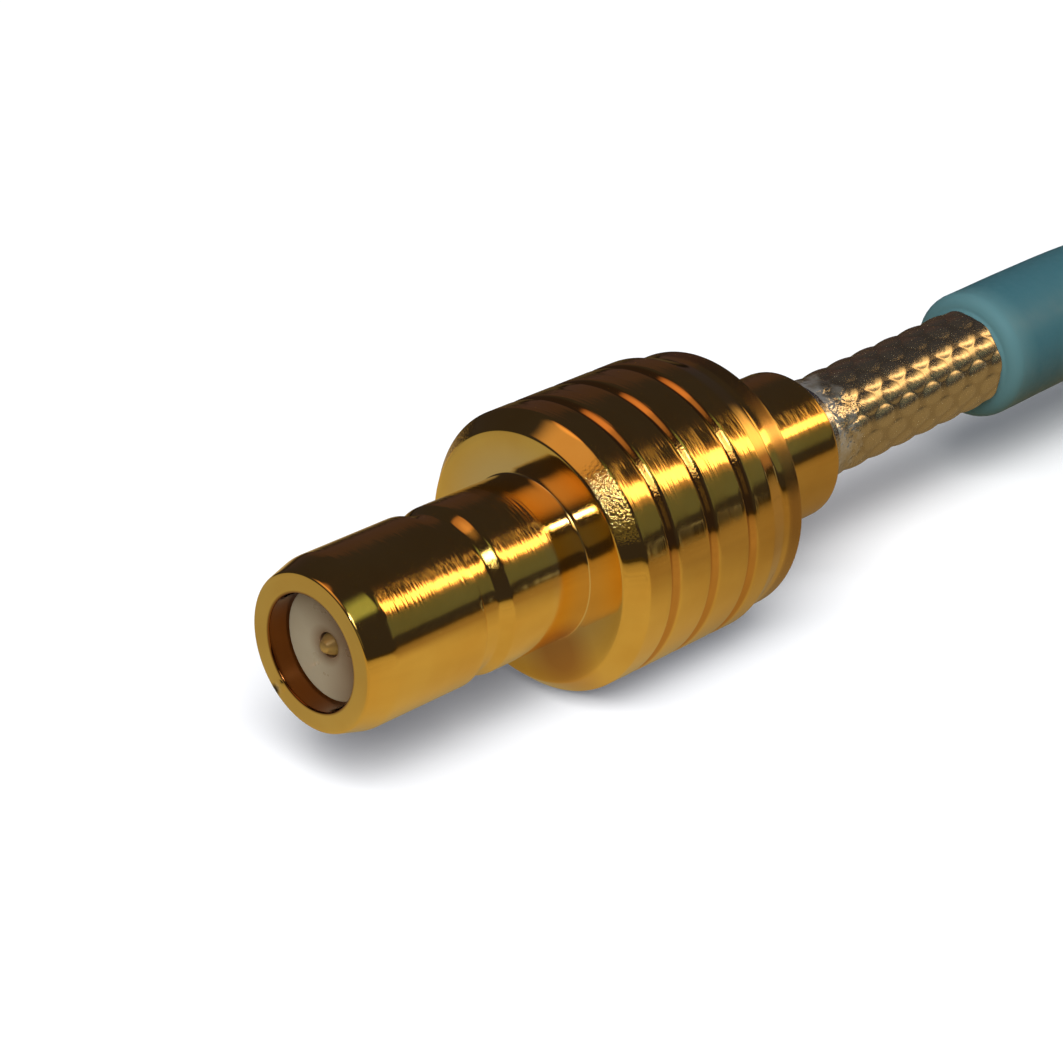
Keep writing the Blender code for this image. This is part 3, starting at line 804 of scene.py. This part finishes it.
def plate_normal(f, place, height):
    """Turning lines on the upper side, grain where the ramps are rubbed, and a fine haze."""
    facing_up = f.maths("DIVIDE", height, f.times(f.attribute("radius"), MM))
    broad = f.noise(ring_vector(f, 1.6, 260.0), 1.0)
    lines = f.times(f.noise(ring_vector(f, 19.0, 1100.0), 1.0, 1.0), f.attribute("hairline"))
    lines = f.times(lines, f.spread(facing_up, 0.42, 0.60))
    rubbed = f.times(f.spread(facing_up, 0.36, 0.50), f.spread(facing_up, 0.76, 0.88, 1.0, 0.0))
    grain = f.times(f.times(f.noise(place, 17000.0), f.attribute("rough")), rubbed)
    normal = f.bump(broad, 9.0e-6)
    normal = f.bump(lines, 0.85e-5, normal=normal)
    normal = f.bump(grain, 1.7e-5, normal=normal)
    normal = f.bump(spot(f, RIM_CURL_MM), 3.0e-5, normal=normal)
    return f.bump(f.noise(place, 5000.0, 3.0), 1.2e-6, 0.35, normal)


def gold_plate():
    """Polished gold over turned brass. The pin's is satin and less metallic."""
    f = Finish("gold_plate")
    place = f.place()
    height = f.maths("SUBTRACT", f.split(place)["Z"], AXIS_Z)
    roughness = PLATE_ROUGHNESS
    for key, change in ROUGHNESS_CHANGES.items():
        roughness = f.maths("ADD", f.times(f.attribute(key), change), roughness)
    f.set(Base_Color=plate_colour(f, place, height), Roughness=roughness)
    f.set(Metallic=f.spread(f.attribute("satin"), 0.0, 1.0, 1.0, 0.55))
    f.set(Normal=plate_normal(f, place, height))
    return f.material


SHADED_PTFE_DARK = (0.305, 0.253, 0.170, 1.0)
SHADED_PTFE_LIGHT = (0.350, 0.298, 0.208, 1.0)
PTFE_PAINTED_SHADE = (0.130, 0.062, 0.024, 1.0)


def ptfe():
    """White PTFE painted darker, as shaded in the socket, with painted shade and gold reflection in
    brown towards its rim on the camera's side and round the pin.
    """
    f = Finish("ptfe")
    place = f.place()
    cloud = f.noise(place, 1500.0, 3.0)
    parts = f.split(place)
    radius = f.attribute("radius")
    # Painted shade and gold reflection: brown rises towards +X, upwards, outwards and round the pin.
    across = f.times(parts["X"], 0.85 / MM)
    upward = f.times(f.maths("SUBTRACT", parts["Z"], AXIS_Z), 0.40 / MM)
    reach = f.maths("ADD", f.times(radius, 0.25), f.maths("ADD", across, upward))
    rim = f.spread(reach, -0.35, 0.75)
    pin = f.spread(radius, 0.27, 0.60, 0.85, 0.0)
    # Painted shade: the bead's white is given darker, as shaded in the socket.
    white = f.blend(cloud, SHADED_PTFE_DARK, SHADED_PTFE_LIGHT)
    f.set(Base_Color=f.blend(f.maths("MAXIMUM", rim, pin), white, PTFE_PAINTED_SHADE))
    f.set(Roughness=f.spread(cloud, 0.3, 0.7, 0.26, 0.38))
    f.set(Normal=f.bump(f.noise(place, 9000.0), 2.0e-6, 0.6))
    f.set(Subsurface_Weight=0.2, Subsurface_Radius=(0.4, 0.35, 0.3), Subsurface_Scale=0.3 * MM)
    return f.material


SOLDER_LIGHT = (0.80, 0.79, 0.76, 1.0)
SOLDER_DARK = (0.55, 0.52, 0.47, 1.0)


def solder_metal():
    """Bright solder with small lumps."""
    f = Finish("solder")
    lumps = f.noise(f.place(), 6000.0, 3.0, 0.6, 0.6)
    f.set(Base_Color=f.blend(lumps, SOLDER_LIGHT, SOLDER_DARK), Metallic=1.0)
    f.set(Roughness=f.spread(lumps, 0.3, 0.7, 0.14, 0.34))
    f.set(Normal=f.bump(lumps, 2.2e-5, 0.8))
    return f.material


CROWN_TIN = (0.74, 0.64, 0.42, 1.0)
CROWN_TIN_DARK = (0.62, 0.53, 0.35, 1.0)
SHADED_LOW_TIN = (0.56, 0.47, 0.30, 1.0)
WET_TIN = (0.76, 0.75, 0.70, 1.0)
WET_TIN_DARK = (0.48, 0.44, 0.36, 1.0)


def braid_metal():
    """Tinned wires: warm satin on the crowns, painted shade between them, bright where solder ran."""
    f = Finish("tinned_braid")
    place = f.place()
    patch = f.noise(place, 2600.0, 3.0, 0.6)
    speck = f.noise(place, 12000.0, 2.0, 0.6)
    crowns = f.blend(patch, CROWN_TIN, CROWN_TIN_DARK)
    # Painted shade: the tin is darker where the weave is low between the crowns.
    dry_tin = f.blend(f.spread(f.attribute("weave"), 0.05, 0.45), SHADED_LOW_TIN, crowns)
    edge = f.maths("ADD", f.attribute("station"), f.spread(patch, 0.3, 0.7, -0.5, 0.5))
    wet = f.spread(edge, 14.9, 15.7, 1.0, 0.0)
    f.set(Base_Color=f.blend(wet, dry_tin, f.blend(speck, WET_TIN, WET_TIN_DARK)))
    f.set(Metallic=f.spread(wet, 0.0, 1.0, 0.98, 0.80))
    dry = f.spread(speck, 0.3, 0.7, 0.22, 0.29)
    f.set(Roughness=f.maths("SUBTRACT", dry, f.times(wet, 0.12), clamp=True))
    lumps = f.times(f.noise(place, 4200.0, 1.5, 0.5, 0.6), wet)
    f.set(Normal=f.bump(lumps, 5.5e-5, normal=f.bump(speck, 1.5e-6, 0.6)))
    return f.material


COPPER_LIGHT = (0.78, 0.60, 0.45, 1.0)
COPPER_DARK = (0.66, 0.48, 0.34, 1.0)


def plain_wire():
    """Silvered copper, drawn to a fine satin."""
    f = Finish("silvered_copper")
    drawn = f.noise(f.place(), 9000.0)
    f.set(Base_Color=f.blend(drawn, COPPER_LIGHT, COPPER_DARK), Metallic=1.0)
    f.set(Roughness=f.spread(drawn, 0.3, 0.7, 0.22, 0.36))
    return f.material


TEAL = (0.034, 0.110, 0.132, 1.0)
TEAL_LIGHT = (0.046, 0.128, 0.150, 1.0)
TEAL_END = (0.105, 0.215, 0.225, 1.0)


def jacket_plastic():
    """Extruded teal jacket, paler towards its cut ends."""
    f = Finish("teal_jacket")
    place = f.place()
    base = f.blend(f.noise(place, 420.0, 4.0, 0.55), TEAL, TEAL_LIGHT)
    end = f.spread(f.attribute("from_end"), 0.25, 0.95, 1.0, 0.0)
    f.set(Base_Color=f.blend(f.times(end, 0.55), base, TEAL_END))
    f.set(Roughness=f.spread(f.noise(place, 3800.0, 3.0), 0.3, 0.7, 0.42, 0.55))
    f.set(Normal=f.bump(f.noise(place, 2600.0, 4.0, 0.6), 6.0e-6, 0.55))
    f.set(Subsurface_Weight=0.12, Subsurface_Radius=(0.3, 0.6, 0.7), Subsurface_Scale=0.3 * MM)
    f.set(Specular_IOR_Level=0.35)
    return f.material


NYLON_DARK = (0.74, 0.74, 0.71, 1.0)
NYLON_LIGHT = (0.84, 0.84, 0.82, 1.0)


def tie_nylon():
    """Natural nylon of the ties."""
    f = Finish("nylon")
    place = f.place()
    cloud = f.noise(place, 1200.0, 3.0)
    f.set(Base_Color=f.blend(cloud, NYLON_DARK, NYLON_LIGHT))
    f.set(Roughness=f.spread(cloud, 0.3, 0.7, 0.36, 0.5))
    f.set(Normal=f.bump(f.noise(place, 9000.0), 3.0e-6, 0.5))
    return f.material


MATERIALS = {
    "gold_plate": gold_plate(),
    "ptfe": ptfe(),
    "solder": solder_metal(),
    "tinned_braid": braid_metal(),
    "silvered_copper": plain_wire(),
    "teal_jacket": jacket_plastic(),
    "nylon": tie_nylon(),
}
MATERIALS["core_insulation"] = MATERIALS["ptfe"]

# Sides round each turned piece, and its longest stretch of outline
BODY_SIDES = 192
FERRULE_SIDES = 128
RING_SIDES = 96
PIN_SIDES = 64
FINE_MM = 0.10
MEDIUM_MM = 0.12
COARSE_MM = 0.40


def dress(piece, slot, *nodes):
    """Gives a piece its finish and makes it stand for CAD nodes on the one body."""
    piece.data.materials.clear()
    piece.data.materials.append(MATERIALS[slot])
    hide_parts(*nodes)
    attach(piece, "root")
    return piece


def jack_pieces(prefix, far):
    """The pieces of one jack that replace its CAD nodes."""

    def lathe(name, outline, sides, longest, **options):
        return turned(prefix + name, far, outline, sides, longest, **options)

    body = lathe("body_shell", body_outline(), BODY_SIDES, FINE_MM, rules=BODY_RULES)
    ferrule = lathe("ferrule_sleeve", ferrule_outline(), FERRULE_SIDES, MEDIUM_MM, rules=COLLAR_RULES)
    bead = lathe("insulator_bead", insulator_outline(), RING_SIDES, COARSE_MM)
    pin = lathe("contact_pin", contact_outline(), PIN_SIDES, COARSE_MM, closed=False, rules=PIN_RULES)
    fillet = lathe("solder_ring", fillet_outline(), RING_SIDES, FINE_MM, on_cable=True)
    braid = braid_piece(prefix + "bare_braid", far)
    # Diffuse rays pass the gold shells, so that these throw no colour on what is round them.
    for shell in (body, ferrule):
        shell.visible_diffuse = False
    return [
        dress(body, "gold_plate", prefix + "outer_body"),
        dress(ferrule, "gold_plate", prefix + "cable_ferrule"),
        dress(bead, "ptfe", prefix + "front_insulator"),
        dress(pin, "gold_plate", prefix + "centre_contact"),
        dress(fillet, "solder", prefix + "solder_fillet"),
        dress(braid, "tinned_braid", prefix + "cable_braid"),
    ]


jack_pieces("", False)
far_pieces = jack_pieces("far_", True)
dress(cable, "teal_jacket", "cable_lead", "cable_coil", "cable_tail")
# The metal doesn't mirror the cable.
cable.visible_glossy = False

INNER_NODES = ("rear_insulator", "contact_solder", "cable_conductor", "cable_dielectric")
slots = {entry["node"]: entry["material_slot"] for entry in frame["record"]["subparts"]}
kept_nodes = ["coil_tie_a", "coil_tie_b"]
kept_nodes += [prefix + name for prefix in ("", "far_") for name in INNER_NODES]
for node in kept_nodes:
    mesh = frame["nodes"][node].data
    mesh.materials.clear()
    mesh.materials.append(MATERIALS[slots[node]])

# Floor: its colour to the camera, to matt pieces, and to metal under, before and behind the jack
WHITE = (1.0, 1.0, 1.0, 1.0)
BLACK = (0.0, 0.0, 0.0, 1.0)
FLOOR_IN_METAL = (0.53, 0.41, 0.19, 1.0)
FRONT_IN_METAL = (0.38, 0.345, 0.235, 1.0)
REAR_IN_METAL = (0.325, 0.225, 0.107, 1.0)
FLOOR_IN_MATT = (0.46, 0.40, 0.29, 1.0)
FLOOR_REACH = 3.0
FLOOR_LEVEL = -0.01 * MM


def floor_tone(f, x, y, away):
    """The colour of the mirrored table top, duller in front and darker behind, with painted shade
    close behind the jack.
    """
    front = f.times(
        f.spread(x, -3 * MM, 3 * MM, 1.0, 0.0),
        f.spread(y, -12 * MM, -6 * MM, 1.0, 0.0),
    )
    # Painted shade: the glow behind the jack is darker close to it.
    under = f.spread(away, 4 * MM, 16 * MM, 0.20, 0.0)
    rear = f.blend(under, REAR_IN_METAL, BLACK)
    behind = f.spread(y, -3 * MM, 5 * MM)
    return f.blend(front, f.blend(behind, FLOOR_IN_METAL, rear), FRONT_IN_METAL)


def floor_finish():
    """White with shadows to the camera, and a warm table top to polished metal."""
    # Part of what metal mirrors is the floor's own glow, so that no shadow blackens it.
    f = Finish("floor")
    place = f.place()
    parts = f.split(place)
    x, y = parts["X"], parts["Y"]
    away = f.add("ShaderNodeVectorMath", {0: place}, operation="LENGTH").outputs["Value"]
    rays = f.rays()
    tone = floor_tone(f, x, y, away)
    fade = f.spread(away, 25 * MM, 110 * MM, 1.0, 0.10)
    mottle = f.spread(f.noise(place, 260.0, 3.0), 0.3, 0.7, 0.86, 1.06)
    left = f.times(f.spread(x, -12 * MM, -4 * MM, 1.0, 0.0), f.spread(y, 0.0, 8 * MM))
    level = f.times(f.times(fade, mottle), f.spread(left, 0.0, 1.0, 1.0, 0.28))
    glowing = f.times(f.spread(away, 12 * MM, 22 * MM, 0.55, 1.0), rays["Is Glossy Ray"])
    mirrored = f.blend(f.maths("SUBTRACT", 1.0, glowing), BLACK, tone)
    warm = f.blend(rays["Is Glossy Ray"], FLOOR_IN_MATT, mirrored)
    f.set(Base_Color=f.blend(rays["Is Camera Ray"], warm, WHITE))
    f.set(Emission_Color=tone, Emission_Strength=f.times(level, glowing))
    f.set(Roughness=0.9, Specular_IOR_Level=0.0)
    return f.material


def floor():
    """A wide square under the object."""
    mesh = bpy.data.meshes.new("floor")
    corners = [(-1, -1), (1, -1), (1, 1), (-1, 1)]
    points = [(x * FLOOR_REACH, y * FLOOR_REACH, FLOOR_LEVEL) for x, y in corners]
    mesh.from_pydata(points, [], [(0, 1, 2, 3)])
    plane = bpy.data.objects.new("floor", mesh)
    bpy.context.scene.collection.objects.link(plane)
    mesh.materials.append(floor_finish())


# What polished metal mirrors. A direction is given by its height z and by its azimuth in radians,
# counted from +Y towards +X. Each window is (low z, high z, soft, from, until, soft, colour).
DARK_STUDIO = (0.034, 0.030, 0.038, 1.0)
SOFT_LIGHT = (0.22, 0.23, 0.26, 1.0)
WINDOWS = (
    (-0.10, 0.480, 0.050, -1.10, -0.62, 0.10, (0.030, 0.010, 0.001, 1.0)),
    (0.165, 0.500, 0.012, 0.25, 1.10, 0.10, (0.085, 0.105, 0.070, 1.0)),
    (0.190, 0.500, 0.030, 1.95, 2.80, 0.15, (0.090, 0.085, 0.040, 1.0)),
    (0.740, 0.930, 0.050, 1.10, 1.65, 0.12, (0.330, 0.420, 0.200, 1.0)),
    (0.620, 0.830, 0.030, 1.86, 2.28, 0.06, (2.800, 2.700, 2.200, 1.0)),
    (0.740, 0.850, 0.025, 1.66, 1.98, 0.06, (7.000, 7.000, 6.500, 1.0)),
    (0.110, 0.240, 0.040, -0.16, 0.16, 0.06, (1.900, 1.250, 0.550, 1.0)),
    (0.200, 0.560, 0.050, 0.10, 0.38, 0.06, (1.300, 0.850, 0.380, 1.0)),
    (0.010, 0.110, 0.030, -0.02, 0.22, 0.06, (0.300, 0.150, 0.055, 1.0)),
)
# Windows whose height is z leaned over by LEAN for each unit of y past LEAN_FROM. They fade out
# as z rises from the second to the first value of LEAN_TOP.
LEAN = 0.85
LEAN_FROM = 0.60
LEAN_TOP = (0.77, 0.72)
LEANING_WINDOWS = (
    (0.490, 0.680, 0.035, 0.25, 1.10, 0.15, (0.300, 0.120, 0.035, 1.0)),
    (0.548, 0.652, 0.015, 0.34, 0.98, 0.06, (3.300, 2.250, 1.150, 1.0)),
)
# Round glows overhead, each (towards, from, until, colour) with from and until as cosines
GLOWS = (
    ((-0.15, -0.49, 0.86), 0.86, 0.985, (0.62, 0.36, 0.17, 1.0)),
    ((-0.26, -0.13, 0.956), 0.958, 0.985, (0.44, 0.20, 0.085, 1.0)),
)


def world():
    """White to the camera, soft light for matt pieces, and a dark studio for metal to mirror."""
    made = bpy.data.worlds.new("studio")
    bpy.context.scene.world = made
    made.use_nodes = True
    made.cycles.sampling_method = "NONE"
    n = Nodes(made.node_tree)

    def inside(value, low, high, soft):
        rise = n.spread(value, low - soft, low + soft, smooth=True)
        fall = n.spread(value, high + soft, high - soft, smooth=True)
        return n.times(rise, fall)

    place = n.add("ShaderNodeTexCoord").outputs["Generated"]
    x, y, z = n.add("ShaderNodeSeparateXYZ", {0: place}).outputs
    azimuth = n.maths("ARCTAN2", x, y)
    past = n.maths("SUBTRACT", y, LEAN_FROM)
    leaning = n.maths("ADD", n.times(past, LEAN), z)
    capped = n.times(leaning, n.spread(z, *LEAN_TOP, smooth=True))
    windows = [(z, *window) for window in WINDOWS]
    windows += [(capped, *window) for window in LEANING_WINDOWS]
    studio = DARK_STUDIO
    for height, low, high, soft, start, end, side_soft, colour in windows:
        tall = inside(height, low, high, soft)
        wide = inside(azimuth, start, end, side_soft)
        studio = n.blend(n.times(tall, wide), studio, colour, "ADD")
    for towards, low, high, colour in GLOWS:
        facing = n.add("ShaderNodeVectorMath", {0: place, 1: towards}, operation="DOT_PRODUCT")
        lit = n.spread(facing.outputs["Value"], low, high, smooth=True)
        studio = n.blend(lit, studio, colour, "ADD")
    rays = n.rays()
    unseen = n.blend(rays["Is Glossy Ray"], SOFT_LIGHT, studio)
    seen = n.blend(rays["Is Camera Ray"], unseen, WHITE)
    n.put(n.tree.nodes["Background"].inputs["Color"], seen)


# Lamps, as (name, direction, distance, width, height, radiance, colour)
OVERHEAD = ("overhead", (0.55, -0.65, 1.0), 0.90, 0.72, 0.72, 7.05, (1.0, 1.0, 1.0))
FLASH = ("flash", (0.42, -0.643, 0.64), 0.50, 0.045, 0.026, 36.0, (0.85, 0.95, 1.4))


def lamp(name, direction, distance, width, height, radiance, colour):
    """A rectangular lamp at a distance in this direction from the jack, facing it."""
    target = Vector((0.0, 0.0, AXIS_Z))
    data = bpy.data.lights.new(name, "AREA")
    data.shape = "RECTANGLE"
    data.size = width
    data.size_y = height
    data.energy = radiance * math.pi * width * height
    data.color = colour
    made = bpy.data.objects.new(name, data)
    towards = Vector(direction).normalized()
    made.location = target + towards * distance
    made.rotation_euler = towards.to_track_quat("Z", "Y").to_euler()
    bpy.context.scene.collection.objects.link(made)
    return made


floor()
world()
# The overhead lamp isn't mirrored, and the flash lights only what is polished.
lamp(*OVERHEAD).visible_glossy = False
lamp(*FLASH).visible_diffuse = False
bpy.context.scene.view_settings.view_transform = "Standard"

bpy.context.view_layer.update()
